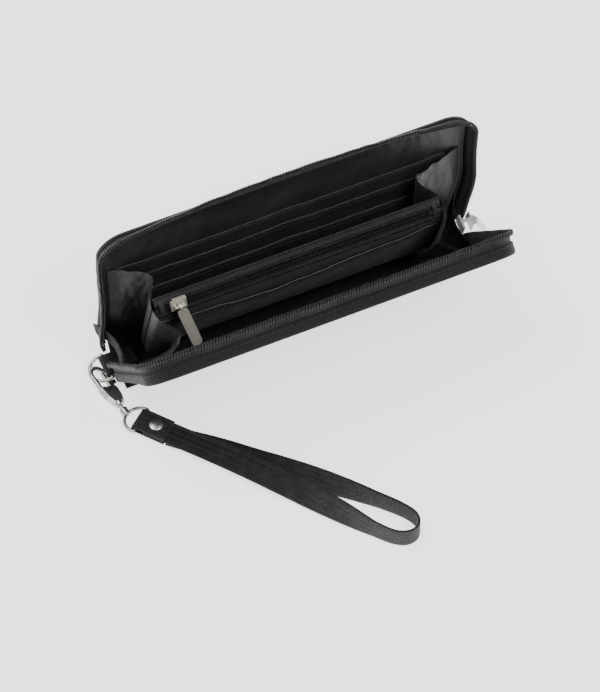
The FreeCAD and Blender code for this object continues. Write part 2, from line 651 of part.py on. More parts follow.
# The strap's route from under the rivet, out, round and back: distance from the ring along the
# strap, offset across it, height, and how far the webbing is rolled onto its edge in degrees.
STRAP_ROUTE = [
    (4.5, 0.0, 3.9, 0), (18.0, 0.1, 3.9, 0), (33.0, 0.5, 3.75, 0), (50.5, 0.8, 3.9, 7),
    (69.5, 0.3, 4.5, 15), (92.0, -1.0, 5.4, 30), (116.0, -3.0, 6.4, 60), (134.0, -4.6, 6.8, 86),
    (145.5, -4.6, 6.9, 90), (152.2, -1.2, 6.9, 90), (154.4, 4.6, 6.9, 90), (151.2, 10.0, 6.9, 90),
    (143.0, 12.0, 6.9, 90), (128.0, 11.6, 6.8, 86), (108.0, 10.3, 6.3, 68),
    (86.0, 8.0, 4.8, 38), (63.0, 6.4, 2.5, 14), (40.0, 4.6, 1.35, 3), (27.0, 1.8, 1.5, 0),
    (STITCHED, 0.0, 2.15, 0)]


def rounded_route(rows):
    """Stations along straight runs joined by tangent arcs, each with its roll."""
    points = [strap_point(*row[:3]) for row in rows]
    rolls = [row[3] for row in rows]
    stations = [(points[0], rolls[0])]
    for n in range(1, len(points) - 1):
        before, here, after = points[n - 1:n + 2]
        arriving, leaving = (here - before).normalize(), (after - here).normalize()
        turn = arriving.getAngle(leaving)
        cut = 0.45 * min((here - before).Length, (after - here).Length)
        radius = cut / math.tan(turn / 2)
        start, end = here - arriving * cut, here + leaving * cut
        inward = (leaving - arriving).normalize()
        centre = here + inward * (radius / math.cos(turn / 2))
        steps = max(2, round(math.degrees(turn) / 9))
        before_share = cut / (here - before).Length
        after_share = cut / (after - here).Length
        for k in range(steps + 1):
            share = k / steps
            spoke = (start - centre) * math.sin(turn * (1 - share)) + \
                (end - centre) * math.sin(turn * share)
            spot = centre + spoke * (1 / math.sin(turn))
            if share < 0.5:
                roll = rolls[n] + (rolls[n - 1] - rolls[n]) * before_share * (1 - 2 * share)
            else:
                roll = rolls[n] + (rolls[n + 1] - rolls[n]) * after_share * (2 * share - 1)
            stations.append((spot, roll))
    stations.append((points[-1], rolls[-1]))
    return stations


def webbing_section(spot, tangent, roll):
    """A strip's rectangular section, rolled about its own line."""
    side = Z.cross(tangent).normalize()
    up = tangent.cross(side).normalize()
    a = math.radians(roll)
    wide = side * math.cos(a) + up * math.sin(a)
    thick = up * math.cos(a) - side * math.sin(a)
    w, t = wide * (WEB_W / 2), thick * (WEB_T / 2)
    return [spot - w - t, spot + w - t, spot + w + t, spot - w + t]


def wrist_strap():
    stations = rounded_route(STRAP_ROUTE)
    far = max(range(len(stations)), key=lambda n: (stations[n][0] - STRAP_BAR).Length)
    sections, length = [], 0.0
    for n, (spot, roll) in enumerate(stations):
        before = stations[max(n - 1, 0)][0]
        after = stations[min(n + 1, len(stations) - 1)][0]
        tangent = (after - before).normalize()
        if n in (0, len(stations) - 1):
            along = strap_axes()[0]
            tangent = along if n == 0 else along * -1
        length += (spot - before).Length
        rolled = roll if n <= far else 180 - roll
        sections.append(webbing_section(spot, tangent, rolled))
    return ruled_solid(sections), length


def strap():
    frame = (STRAP_BAR, *strap_axes())
    band, length = wrist_strap()
    print(f"strap route {length:.1f} mm, solid {band.Volume / (WEB_W * WEB_T):.1f} mm of webbing")
    wrap = in_frame(web_loop(STITCHED, BAR_BORE), *frame)
    hole = in_frame(Part.makeCylinder(SHANK_R + 0.1, 12, Vector(RIVET_AT, 0, -6)), *frame)
    save("wrist_strap", band.cut(hole))
    save("strap_end_wrap", wrap.cut(hole))
    top = BAR_BORE + WEB_T
    low = -STRAP_BAR.z
    cap = Part.makeCylinder(RIVET_R, 0.4, Vector(RIVET_AT, 0, top))
    dome_r = (RIVET_R ** 2 + (RIVET_H - 0.4) ** 2) / (2 * (RIVET_H - 0.4))
    dome = Part.makeSphere(dome_r, Vector(RIVET_AT, 0, top + RIVET_H - dome_r)).common(
        Part.makeCylinder(RIVET_R, RIVET_H, Vector(RIVET_AT, 0, top + 0.4)))
    shank = Part.makeCylinder(SHANK_R, 2 * top, Vector(RIVET_AT, 0, -top))
    save("rivet_cap", in_frame(cap.fuse([dome, shank]), *frame))
    base = Part.makeCylinder(RIVET_R, -top - low - 0.05, Vector(RIVET_AT, 0, low + 0.05))
    save("rivet_base", in_frame(base, *frame))


def main():
    covers()
    spine()
    divider()
    inner_slider()
    main_slider()
    gussets()
    tab()
    strap_ring(clasp())
    strap()


main()
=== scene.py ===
"""Zip-around fabric wallet with a wrist strap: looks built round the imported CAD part."""

import math

import bmesh
import bpy
import numpy as np
from mathutils import Matrix, Vector, noise


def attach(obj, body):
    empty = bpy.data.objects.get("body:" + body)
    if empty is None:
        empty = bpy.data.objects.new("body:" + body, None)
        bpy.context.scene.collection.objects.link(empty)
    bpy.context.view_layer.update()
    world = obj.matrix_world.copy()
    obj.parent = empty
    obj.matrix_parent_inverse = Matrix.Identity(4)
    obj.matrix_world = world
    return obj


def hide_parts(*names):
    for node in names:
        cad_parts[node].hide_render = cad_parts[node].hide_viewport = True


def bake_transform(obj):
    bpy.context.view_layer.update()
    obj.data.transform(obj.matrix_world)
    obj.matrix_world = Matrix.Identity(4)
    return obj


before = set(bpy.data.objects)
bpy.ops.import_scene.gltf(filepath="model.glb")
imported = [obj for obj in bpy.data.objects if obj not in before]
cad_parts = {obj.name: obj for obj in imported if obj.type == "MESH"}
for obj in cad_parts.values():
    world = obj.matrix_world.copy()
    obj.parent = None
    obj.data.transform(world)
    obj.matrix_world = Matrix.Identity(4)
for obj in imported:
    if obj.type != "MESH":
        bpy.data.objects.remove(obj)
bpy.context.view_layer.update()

# ---- dimensions in millimetres, as in the CAD ----------------------------------------------
AXIS_Z = 12.2
REAR, FRONT, MIDDLE = -5.0, 38.0, 16.5
HALF, TOP, CORNER = 100.0, 90.0, 14.0
INNER, INNER_COIL_HALF = 78.0, 73.0
FOOT_INSET, FOOT_RISE = 6.0, 11.0
DIVIDER_FOOT, DIVIDER_TOP, FRONT_WALL_TOP = -9.4, 60.0, 49.6
SLIP_HALF = 77.0
HEM_UPPER, HEM_MIDDLE, HEM_LOWER = 56.0, 45.0, 34.0
SPINE_HALF = 94.0
WEB_W, WEB_T = 12.7, 1.3
BAR_BORE = 1.1
TAB_BAR, TAB_LEN = (-99.6, -1.5, 8.0), 15.0
STITCHED = 16.3
MAIN_PITCH, INNER_PITCH = 1.45, 1.25
TAPE_ROOT = 9.0


# ---- camera and light ----------------------------------------------------------------------
def look():
    """The camera, at the photograph's viewing angle."""
    azimuth, elevation, distance = math.radians(24.1), math.radians(55.0), 1.975
    aim = Vector((-0.0083, -0.0367, 0.0186))
    back = Vector((-math.sin(azimuth) * math.cos(elevation),
                   -math.cos(azimuth) * math.cos(elevation), math.sin(elevation)))
    right = Vector((math.cos(azimuth), -math.sin(azimuth), 0.0))
    up = back.cross(right)
    data = bpy.data.cameras.new("camera")
    data.sensor_fit, data.sensor_width = "HORIZONTAL", 36.0
    data.lens = 234.6
    data.clip_start, data.clip_end = 0.1, 20.0
    camera = bpy.data.objects.new("camera", data)
    camera.matrix_world = Matrix.Translation(aim + back * distance) \
        @ Matrix((right, up, back)).transposed().to_4x4()
    bpy.context.collection.objects.link(camera)
    bpy.context.scene.camera = camera


def lamp(name, place, aim, size, power):
    """A round soft lamp aimed at a point."""
    data = bpy.data.lights.new(name, "AREA")
    data.shape, data.size, data.energy = "DISK", size, power
    obj = bpy.data.objects.new(name, data)
    obj.location = place
    obj.rotation_euler = (Vector(aim) - Vector(place)).to_track_quat("-Z", "Y").to_euler()
    bpy.context.collection.objects.link(obj)


look()


# ---- materials -----------------------------------------------------------------------------
class Nodes:
    """A material and short ways to add and join its nodes."""

    def __init__(self, name):
        self.material = bpy.data.materials.new(name)
        self.material.use_nodes = True
        self.tree = self.material.node_tree
        self.shader = self.tree.nodes["Principled BSDF"]

    def add(self, kind, **values):
        node = self.tree.nodes.new(kind)
        for key, value in values.items():
            if key in node.inputs:
                node.inputs[key].default_value = value
            else:
                setattr(node, key, value)
        return node

    def link(self, source, node, name):
        self.tree.links.new(source, node.inputs[name])

    def scaled(self, source, x, y, z=1.0, turn=0.0):
        node = self.add("ShaderNodeMapping")
        node.inputs["Scale"].default_value = (x, y, z)
        node.inputs["Rotation"].default_value = (0, 0, turn)
        self.link(source, node, "Vector")
        return node.outputs["Vector"]

    def math(self, operation, a, b):
        node = self.add("ShaderNodeMath", operation=operation)
        for n, value in enumerate((a, b)):
            if isinstance(value, (int, float)):
                node.inputs[n].default_value = value
            else:
                self.tree.links.new(value, node.inputs[n])
        return node.outputs[0]

    def ramp(self, source, low, high, dark, light):
        node = self.add("ShaderNodeValToRGB")
        node.color_ramp.elements[0].position, node.color_ramp.elements[1].position = low, high
        node.color_ramp.elements[0].color, node.color_ramp.elements[1].color = dark, light
        self.link(source, node, "Fac")
        return node.outputs["Color"]

    def bump(self, height, strength, distance, normal=None):
        node = self.add("ShaderNodeBump", Strength=strength, Distance=distance)
        self.link(height, node, "Height")
        if normal:
            self.link(normal, node, "Normal")
        return node.outputs["Normal"]


def grey(value, tint=(1, 1, 1)):
    """A grey of this value, tinted, as RGBA."""
    return (value * tint[0], value * tint[1], value * tint[2], 1.0)


def cloth(name, dark, light, pitch, rough=0.75, sheen=0.15, twill=False, tint=(1, 1, 1.05),
          specular=0.35, depth=0.12, creases=0.0):
    """Woven cloth: warp and weft threads at a pitch in millimetres, over the piece's UV map."""
    n = Nodes(name)
    uv = n.add("ShaderNodeUVMap").outputs["UV"]
    place = n.add("ShaderNodeTexCoord").outputs["Object"]
    split = n.add("ShaderNodeSeparateXYZ")
    n.link(uv, split, "Vector")
    a, b = split.outputs["X"], split.outputs["Y"]
    rate = 2 * math.pi / pitch
    if twill:
        lean = n.math("ADD", a, n.math("PINGPONG", b, 2.4))
        weave = n.math("MULTIPLY", n.math("SINE", n.math("MULTIPLY", lean, rate), 0.0),
                       n.math("ADD", n.math("SINE", n.math("MULTIPLY", b, rate * 0.9), 0.0), 1.6))
    else:
        weave = n.math("MULTIPLY", n.math("SINE", n.math("MULTIPLY", a, rate), 0.0),
                       n.math("SINE", n.math("MULTIPLY", b, rate), 0.0))
    wear = n.add("ShaderNodeTexNoise", Scale=55.0, Detail=5.0, Roughness=0.6)
    n.link(place, wear, "Vector")
    fine = n.add("ShaderNodeTexNoise", Scale=1700.0, Detail=2.0)
    n.link(place, fine, "Vector")
    tone = n.math("ADD", n.math("MULTIPLY", weave, 0.2), wear.outputs["Fac"])
    n.link(n.ramp(tone, 0.25, 0.85, grey(dark, tint), grey(light, tint)), n.shader, "Base Color")
    normal = n.bump(weave, 0.7, depth * 1e-3)
    if creases:
        crease = n.add("ShaderNodeTexNoise", Scale=42.0, Detail=4.0, Roughness=0.55,
                       Distortion=1.4)
        n.link(n.scaled(place, 1.0, 0.6, 0.6), crease, "Vector")
        normal = n.bump(crease.outputs["Fac"], 0.8, creases * 1e-3, normal)
    n.link(n.bump(fine.outputs["Fac"], 0.25, 0.08e-3, normal), n.shader, "Normal")
    n.link(n.math("ADD", n.math("MULTIPLY", wear.outputs["Fac"], 0.2), rough - 0.1),
           n.shader, "Roughness")
    n.shader.inputs["Sheen Weight"].default_value = sheen
    n.shader.inputs["Sheen Roughness"].default_value = 0.4
    n.shader.inputs["Specular IOR Level"].default_value = specular
    return n.material


def webbing(name):
    """Herringbone webbing: diagonal ribs that change direction from band to band."""
    n = Nodes(name)
    uv = n.add("ShaderNodeUVMap").outputs["UV"]
    split = n.add("ShaderNodeSeparateXYZ")
    n.link(uv, split, "Vector")
    across, along = split.outputs["X"], split.outputs["Y"]
    zig = n.math("PINGPONG", across, 1.6)
    rib = n.math("SINE", n.math("MULTIPLY", n.math("ADD", along, zig), 4.6), 0.0)
    band = n.math("SINE", n.math("MULTIPLY", across, 3.93), 0.0)
    height = n.math("ADD", n.math("MULTIPLY", rib, 0.5), n.math("MULTIPLY", band, 0.2))
    place = n.add("ShaderNodeTexCoord").outputs["Object"]
    wear = n.add("ShaderNodeTexNoise", Scale=160.0, Detail=4.0)
    n.link(place, wear, "Vector")
    fuzz = n.add("ShaderNodeTexNoise", Scale=2200.0, Detail=2.0)
    n.link(place, fuzz, "Vector")
    tone = n.math("ADD", n.math("MULTIPLY", height, 0.45), wear.outputs["Fac"])
    n.link(n.ramp(tone, 0.3, 0.95, grey(0.003), grey(0.032)), n.shader, "Base Color")
    n.link(n.bump(fuzz.outputs["Fac"], 0.3, 0.1e-3, n.bump(height, 0.9, 0.35e-3)), n.shader,
           "Normal")
    n.shader.inputs["Roughness"].default_value = 0.7
    n.shader.inputs["Sheen Weight"].default_value = 0.12
    n.shader.inputs["Specular IOR Level"].default_value = 0.3
    return n.material


def plastic(name, value, rough):
    """Dull grained plastic or board, grey at this value."""
    n = Nodes(name)
    place = n.add("ShaderNodeTexCoord").outputs["Object"]
    grain = n.add("ShaderNodeTexNoise", Scale=900.0, Detail=3.0)
    n.link(place, grain, "Vector")
    n.link(n.ramp(grain.outputs["Fac"], 0.3, 0.7, grey(value * 0.7), grey(value * 1.3)),
           n.shader, "Base Color")
    n.link(n.math("ADD", n.math("MULTIPLY", grain.outputs["Fac"], 0.2), rough - 0.1),
           n.shader, "Roughness")
    n.link(n.bump(grain.outputs["Fac"], 0.15, 0.05e-3), n.shader, "Normal")
    return n.material


def metal(name, colour, rough, stretch=(1, 1, 1), metallic=1.0):
    """Plated metal: cloudy polish and fine scratches, drawn out along one axis if brushed."""
    n = Nodes(name)
    place = n.add("ShaderNodeTexCoord").outputs["Object"]
    cloud = n.add("ShaderNodeTexNoise", Scale=260.0, Detail=4.0)
    n.link(place, cloud, "Vector")
    scratch = n.add("ShaderNodeTexNoise", Scale=1500.0, Detail=3.0)
    n.link(n.scaled(place, *stretch), scratch, "Vector")
    dim = tuple(c * 0.82 for c in colour)
    n.link(n.ramp(cloud.outputs["Fac"], 0.3, 0.7, (*dim, 1), (*colour, 1)), n.shader,
           "Base Color")
    n.link(n.math("ADD", n.math("MULTIPLY", scratch.outputs["Fac"], 0.22), rough - 0.1),
           n.shader, "Roughness")
    n.link(n.bump(scratch.outputs["Fac"], 0.12, 0.02e-3), n.shader, "Normal")
    n.shader.inputs["Metallic"].default_value = metallic
    return n.material


OUTER = cloth("outer_cloth", 0.0035, 0.012, 0.9, rough=0.75, specular=0.3, creases=0.35)
LINING = cloth("lining_cloth", 0.0035, 0.011, 0.5, rough=0.42, specular=0.5,
               tint=(0.9, 1.0, 1.15), depth=0.04, creases=0.5)
POCKET = cloth("pocket_cloth", 0.005, 0.017, 0.5, rough=0.42, specular=0.5,
               tint=(0.9, 1.0, 1.12), depth=0.05, creases=0.4)
SLIP = cloth("slip_cloth", 0.005, 0.019, 0.5, rough=0.34, specular=0.6,
             tint=(0.7, 1.0, 1.25), depth=0.04, creases=0.5)
TAPE = cloth("tape_cloth", 0.004, 0.04, 1.15, rough=0.7, twill=True, specular=0.3, depth=0.2)
THREAD = cloth("thread", 0.01, 0.03, 0.3, rough=0.55)
WEBBING = webbing("strap_webbing")
TEETH = plastic("coil_plastic", 0.016, 0.34)
SATIN = metal("satin_nickel", (0.74, 0.70, 0.61), 0.4, (1, 6, 1), 0.6)
BRIGHT = metal("bright_nickel", (0.56, 0.545, 0.52), 0.28, metallic=0.95)
BOARD = plastic("board", 0.03, 0.6)
FOAM = plastic("foam", 0.03, 0.8)
BRUSHED = metal("brushed_nickel", (0.62, 0.62, 0.61), 0.34, (1, 9, 1))


# ---- mesh tools ----------------------------------------------------------------------------
def tilted(x, t, u, lean):
    """Points made upright about the fold axis, leaned, in metres; t is out of the rear cover."""
    a = np.radians(lean)
    x, t, u = np.broadcast_arrays(np.asarray(x, float), np.asarray(t, float),
                                  np.asarray(u, float))
    return np.stack([x, t * np.cos(a) - u * np.sin(a), AXIS_Z + t * np.sin(a) + u * np.cos(a)],
                    axis=-1) * 1e-3


def wave(a, b, seed, size=1.0):
    """Smooth unevenness between about -1 and 1 over two coordinates in millimetres."""
    flat_a, flat_b = np.ravel(a) / size, np.ravel(b) / size
    values = [noise.noise(Vector((p + seed * 7.3, q - seed * 3.1, seed * 1.7)))
              for p, q in zip(flat_a, flat_b)]
    return np.array(values).reshape(np.shape(a)) * 1.6


def smooth(low, high, value):
    """0 below low, 1 above high and an even curve between."""
    k = np.clip((np.asarray(value, float) - low) / (high - low), 0, 1)
    return k * k * (3 - 2 * k)


def mesh_object(name, points, faces, uvs, material):
    """A smooth-shaded mesh with one UV pair for each vertex."""
    mesh = bpy.data.meshes.new(name)
    mesh.from_pydata([tuple(p) for p in points], [], faces)
    layer = mesh.uv_layers.new(name="UVMap")
    indices = np.empty(len(mesh.loops), dtype=np.int32)
    mesh.loops.foreach_get("vertex_index", indices)
    layer.data.foreach_set("uv", np.asarray(uvs, np.float32)[indices].ravel())
    mesh.polygons.foreach_set("use_smooth", [True] * len(mesh.polygons))
    mesh.materials.append(material)
    obj = bpy.data.objects.new(name, mesh)
    bpy.context.collection.objects.link(obj)
    return obj


def sheet_mesh(name, outer, inner, uv, material):
    """A closed thin shell between two grids of points, each (rows, columns, 3) in metres."""
    rows, cols = outer.shape[:2]
    points = np.concatenate([outer.reshape(-1, 3), inner.reshape(-1, 3)])
    uvs = np.concatenate([uv.reshape(-1, 2)] * 2)
    count, faces = rows * cols, []
    for i in range(rows - 1):
        for j in range(cols - 1):
            a = i * cols + j
            faces.append((a, a + 1, a + cols + 1, a + cols))
            faces.append((a + count, a + cols + count, a + cols + 1 + count, a + 1 + count))
    rim = list(range(cols)) + [i * cols + cols - 1 for i in range(1, rows)] + \
        [(rows - 1) * cols + j for j in range(cols - 2, -1, -1)] + \
        [i * cols for i in range(rows - 2, 0, -1)]
    for n, a in enumerate(rim):
        b = rim[(n + 1) % len(rim)]
        faces.append((b, a, a + count, b + count))
    obj = mesh_object(name, points, faces, uvs, material)
    recalculate(obj)
    return obj


def recalculate(obj):
    """Turn all faces outwards."""
    bm = bmesh.new()
    bm.from_mesh(obj.data)
    bmesh.ops.recalc_face_normals(bm, faces=bm.faces)
    bm.to_mesh(obj.data)
    bm.free()


def thick_sheet(name, grid, thickness, uv, material, edge=0.5):
    """A sheet of this thickness in millimetres about a grid, thinner towards its edges."""
    du, dv = np.gradient(grid, axis=0), np.gradient(grid, axis=1)
    normal = np.cross(du, dv)
    normal /= np.linalg.norm(normal, axis=-1, keepdims=True) + 1e-12
    half = np.full(grid.shape[:2], thickness * 0.5e-3)
    for line in (np.s_[0, :], np.s_[-1, :], np.s_[:, 0], np.s_[:, -1]):
        half[line] *= edge
    return sheet_mesh(name, grid + normal * half[..., None], grid - normal * half[..., None],
                      uv, material)


def tube_sweep(name, rings, uvs, material):
    """A closed solid through rings of equally many points, with flat ends."""
    rings = np.asarray(rings)
    count, size = rings.shape[:2]
    faces = [(i * size + j, i * size + (j + 1) % size, (i + 1) * size + (j + 1) % size,
              (i + 1) * size + j) for i in range(count - 1) for j in range(size)]
    faces += [tuple(range(size))[::-1], tuple((count - 1) * size + j for j in range(size))]
    obj = mesh_object(name, rings.reshape(-1, 3), faces, np.asarray(uvs).reshape(-1, 2),
                      material)
    recalculate(obj)
    return obj


def beads(name, items, material):
    """Many small rounded bars as one mesh; each item is (centre, along, side, up) half-axes."""
    around = 8
    profile = [(-1.0, 0.45), (-0.72, 0.92), (0.0, 1.0), (0.72, 0.92), (1.0, 0.45)]
    angles = np.arange(around) * 2 * math.pi / around
    points, faces, uvs = [], [], []
    for centre, along, side, up in items:
        base = len(points)
        for reach, girth in profile:
            for angle in angles:
                points.append(centre + along * reach
                              + (side * math.cos(angle) + up * math.sin(angle)) * girth)
                uvs.append((reach * 2, angle))
        for ring in range(len(profile) - 1):
            for j in range(around):
                k = (j + 1) % around
                faces.append((base + ring * around + j, base + ring * around + k,
                              base + (ring + 1) * around + k, base + (ring + 1) * around + j))
        faces.append(tuple(base + j for j in range(around))[::-1])
        last = base + (len(profile) - 1) * around
        faces.append(tuple(last + j for j in range(around)))
    obj = mesh_object(name, points, faces, uvs, material)
    recalculate(obj)
    return obj


def unit(v):
    return v / (np.linalg.norm(v) + 1e-12)


def stitching(name, line, normals, stitch=2.4, gap=0.9, radius=0.2):
    """A row of stitches laid along a line of points, in metres, on a surface."""
    line, normals = np.asarray(line), np.asarray(normals)
    steps = np.linalg.norm(np.diff(line, axis=0), axis=1)
    reach = np.concatenate([[0], np.cumsum(steps)])
    period = (stitch + gap) * 1e-3
    items = []
    for n in range(int(reach[-1] / period)):
        at = (n + 0.5) * period
        spot = np.array([np.interp(at, reach, line[:, k]) for k in range(3)])
        ahead = np.array([np.interp(at + 2e-4, reach, line[:, k]) for k in range(3)])
        normal = unit(np.array([np.interp(at, reach, normals[:, k]) for k in range(3)]))
        along = unit(ahead - spot)
        items.append((spot, along * stitch * 0.5e-3, np.cross(along, normal) * radius * 1e-3,
                      normal * radius * 1e-3))
    return beads(name, items, THREAD)


# ---- the outline of a cover ----------------------------------------------------------------
def half_width(u, inset=0.0):
    """Half of a cover's width at a height above the fold axis."""
    u = np.asarray(u, float)
    half, top, r = HALF - inset, TOP - inset, CORNER - inset
    drop = np.clip(u - (top - r), 0, r)
    foot = FOOT_INSET * np.clip(1 - u / FOOT_RISE, 0, 1) ** 2
    return half - foot - (r - np.sqrt(r * r - drop * drop))


def outline(inset, low_left, low_right, step=1.5):
    """Stations round the three free sides: (x, u, outward x, outward u, distance)."""
    half, top, r = HALF - inset, TOP - inset, CORNER - inset
    line = []
    for u in np.arange(low_left, top - r, step):
        line.append((-float(half_width(u, inset)), u))
    arc = max(6, int(r * math.pi / 2 / step))
    for n in range(arc + 1):
        a = math.pi - math.pi / 2 * n / arc
        line.append((r - half + r * math.cos(a), top - r + r * math.sin(a)))
    for x in np.arange(r - half + step, half - r, step):
        line.append((x, top))
    for n in range(arc + 1):
        a = math.pi / 2 - math.pi / 2 * n / arc
        line.append((half - r + r * math.cos(a), top - r + r * math.sin(a)))
    for u in np.arange(top - r - step, low_right, -step):
        line.append((float(half_width(u, inset)), u))
    line = np.array(line)
    tangent = np.gradient(line, axis=0)
    tangent /= np.linalg.norm(tangent, axis=1, keepdims=True)
    reach = np.concatenate([[0], np.cumsum(np.linalg.norm(np.diff(line, axis=0), axis=1))])
    return np.column_stack([line, -tangent[:, 1], tangent[:, 0], reach])


def plate_grid(inset, foot, rows=70, cols=150):
    """A grid over a cover's plate: x and u of each point."""
    k = np.linspace(0, 1, rows)
    u = foot + (TOP - inset - foot) * np.sin(k * math.pi / 2) ** 0.9
    s = np.sin(np.linspace(-1, 1, cols) * math.pi / 2 * 0.92) / math.sin(math.pi / 2 * 0.92)
    width = half_width(np.minimum(u, TOP - inset - 1e-3), inset)
    return width[:, None] * s[None, :], np.repeat(u[:, None], cols, axis=1)


def uv_of(a, b):
    """Two grids of millimetres as one grid of UV pairs."""
    return np.stack([a, b], axis=-1)


def rear_place(x, t, u):
    """The soft rear cover: its top edge rolls forward and sinks, and it leans to the right."""
    x, t, u = (np.asarray(v, float) for v in (x, t, u))
    rolled = smooth(45, 92, u)
    behind = np.maximum(t - 7.0, 0.0)
    shift = smooth(0, 38, u) * (5.6 + 1.8 * x / HALF)
    return tilted(x + shift, t - rolled * (3.0 + 0.4 * behind),
                  u - rolled * (7.5 + 0.18 * behind), REAR)


def front_place(x, t, u):
    """The soft front cover, whose outer fabric hangs a little below its rim."""
    x, t, u = (np.asarray(v, float) for v in (x, t, u))
    sag = smooth(9.0, 12.0, -t) * smooth(45, 85, u) * 1.2
    left = smooth(-70, -98, x) * smooth(60, 88, u)
    return tilted(x, t - sag, u - left, FRONT)


# ---- covers --------------------------------------------------------------------------------
def flare_of(x, u, side, top, inset=1.1):
    """The tape's flare in degrees: more along the middle of the top side."""
    share = np.clip((x / (HALF - CORNER) + 1) / 2, 0, 1)
    return np.where(u > TOP - inset - 0.01, side + (top - side) * np.sin(math.pi * share) ** 0.8,
                    side)


def cover(name, sign, place, top_flare, seed):
    """Outer fabric shell, rim seam, lining, tape and coil of one cover.

    sign is 1 for the rear cover, whose outside faces +Y, and -1 for the front cover."""
    body = "back_cover" if sign > 0 else "front_cover"
    x, u = plate_grid(0.6, 0.0)
    crown = 0.7 * (1 - (x / HALF) ** 2) * np.sin(np.clip(u / TOP, 0, 1) * math.pi)
    puff = 0.22 * wave(x, u, seed, 26) + 0.1 * wave(x, u, seed + 1, 9)
    edge = smooth(0, 7, HALF - np.abs(x)) * smooth(0, 7, TOP - u)
    shell = sheet_mesh(f"{name}_shell",
                       place(x, sign * (12.1 + (crown + puff) * edge), u),
                       place(x, sign * 10.9, u), uv_of(x, u), OUTER)
    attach(shell, body)
    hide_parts(f"{name}_outer_panel")

    x, u = plate_grid(3.2, 3.0)
    board = sheet_mesh(f"{name}_board", place(x, sign * 10.8, u), place(x, sign * 10.15, u),
                       uv_of(x, u), BOARD if sign > 0 else FOAM)
    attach(board, body)
    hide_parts(f"{name}_stiffener")

    path = outline(0.0, 3.0, 3.0)
    profile = [(-1.0, 7.7), (-0.85, 7.35), (-0.4, 7.15), (0.0, 7.35), (0.12, 7.9), (0.02, 8.4),
               (0.05, 9.4), (0.0, 10.6), (-0.15, 11.5), (-0.65, 12.1), (-1.6, 12.25),
               (-1.7, 11.2), (-1.0, 10.8)]
    rings, uvs = [], []
    for px, pu, ox, ou, s in path:
        lift = 0.256 * noise.noise(Vector((s / 9.0, seed, 0.0)))
        rings.append([place(px + ox * (n + lift * (n > -0.5)), sign * t,
                            pu + ou * (n + lift * (n > -0.5))) for n, t in profile])
        uvs.append([(s, 1.3 * k) for k in range(len(profile))])
    rim = tube_sweep(f"{name}_rim", rings, uvs, OUTER)
    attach(rim, body)
    line = [place(px + ox * 0.05, sign * 8.4, pu + ou * 0.05) for px, pu, ox, ou, s in path]
    normals = [place(px + ox, sign * 8.4, pu + ou) - place(px, sign * 8.4, pu)
               for px, pu, ox, ou, s in path]
    seam = stitching(f"{name}_rim_stitches", line, normals, 2.3, 1.0, 0.17)
    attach(seam, body)

    x, u = plate_grid(1.9, 1.0)
    edge = smooth(0, 5, HALF - 1.9 - np.abs(x)) * smooth(0, 5, TOP - 1.9 - u)
    gathers = np.exp(-(TOP - 1.9 - u) / 9.0) * np.sin(x * 1.15 + 2.2 * wave(x, u, seed + 5, 15))
    pucker = 0.5 * wave(x, u, seed + 3, 20) + 0.3 * wave(x, u * 0.4, seed + 4, 6) \
        + 0.45 * gathers
    face = 9.6 - (0.6 + pucker) * edge
    lining = sheet_mesh(f"{name}_lining_cloth", place(x, sign * face, u),
                        place(x, sign * (face + 0.45), u), uv_of(x, u), LINING)
    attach(lining, body)
    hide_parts(f"{name}_lining")
    zip_side(name, sign, place, 14.0, top_flare, seed, body)


